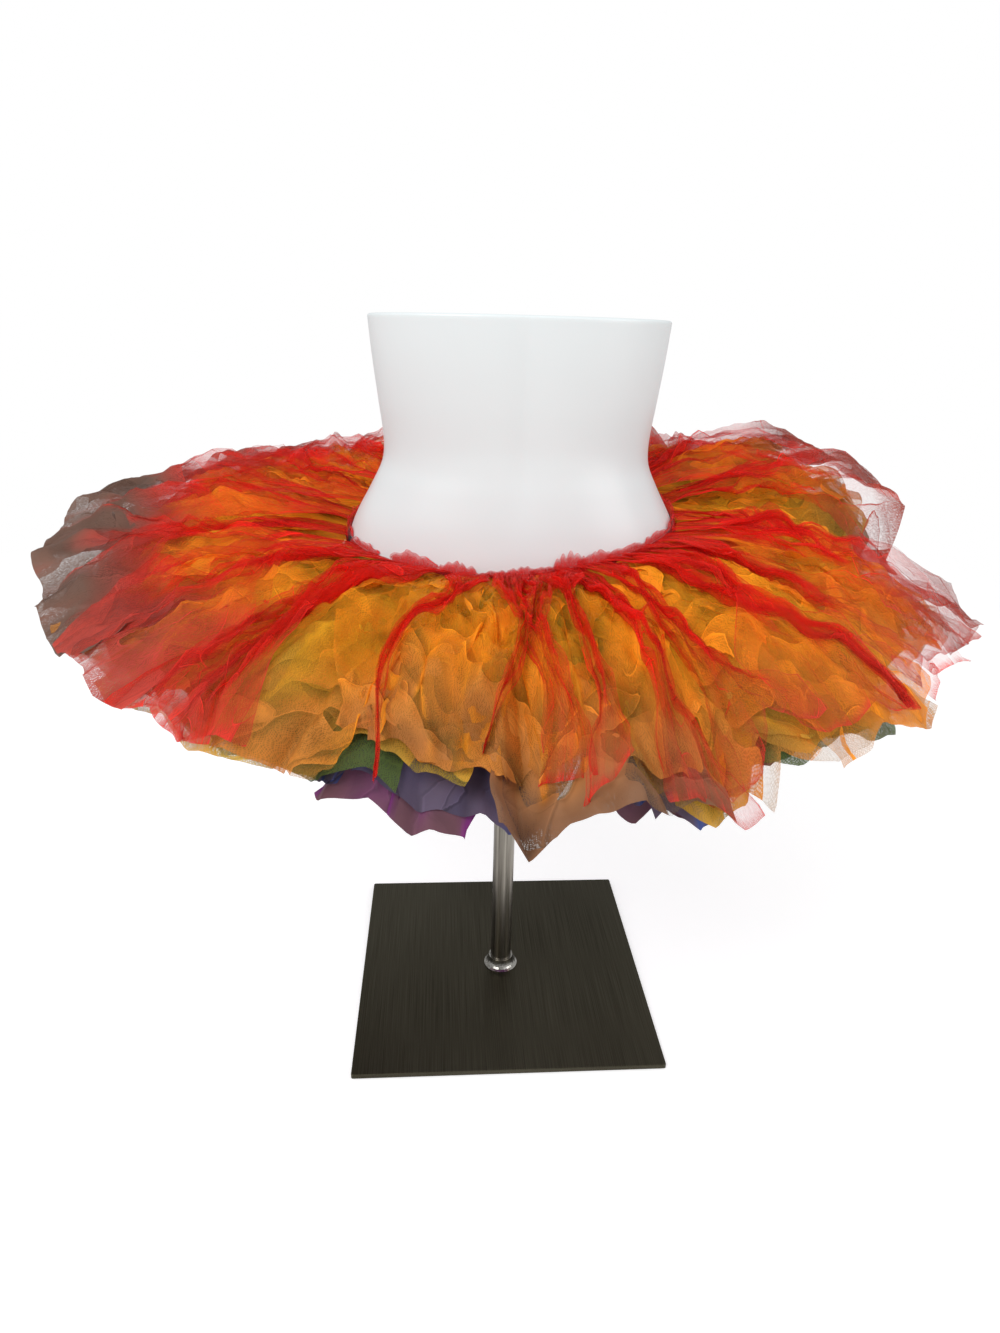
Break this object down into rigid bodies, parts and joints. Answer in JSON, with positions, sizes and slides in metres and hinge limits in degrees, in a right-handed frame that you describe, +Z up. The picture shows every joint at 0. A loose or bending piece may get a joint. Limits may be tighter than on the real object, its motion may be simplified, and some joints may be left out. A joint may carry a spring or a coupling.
{
  "type": "tulle ballet tutu on a limbless waist-and-hip dress form with pole stand",
  "caption": "Soft rainbow tulle tutu of layered gathered strips on a black elastic waistband, worn on a glossy white waist-and-hip form on a steel pole and square base.",
  "frame": {"origin": "centre of the base plate's underside, where the stand rests", "axes": "+Z up the pole; -Y is the garment's front; +X is the viewer's right seen from the front, across the skirt's widest span"},
  "size_m": [0.8326, 0.7245, 0.667],
  "materials": {
    "base_steel": "dark brushed steel, grain running front to back",
    "pole_steel": "satin steel tube",
    "collar_steel": "polished spun steel",
    "form_white": "smooth glossy white moulding",
    "elastic_black": "ribbed black elastic",
    "tulle_loops": "sheer soft tulle, one ply, pinkish red",
    "tulle_red": "sheer soft nylon tulle, fine hexagonal net, gathered",
    "tulle_orange": "sheer soft nylon tulle, fine hexagonal net, gathered",
    "tulle_yellow": "sheer soft nylon tulle, fine hexagonal net, gathered",
    "tulle_green": "sheer soft nylon tulle, fine hexagonal net, gathered",
    "tulle_blue": "sheer soft nylon tulle, fine hexagonal net, gathered",
    "tulle_violet": "sheer soft nylon tulle, fine hexagonal net, gathered"
  },
  "bodies": {
    "root": {"base_plate": "base_steel", "pole": "pole_steel", "pole_collar": "collar_steel", "dress_form": "form_white", "waistband": "elastic_black", "header_frill": "tulle_loops", "layer_red": "tulle_red", "layer_orange": "tulle_orange", "layer_yellow": "tulle_yellow", "layer_green": "tulle_green", "layer_blue": "tulle_blue", "layer_violet": "tulle_violet"}
  },
  "joints": []
}
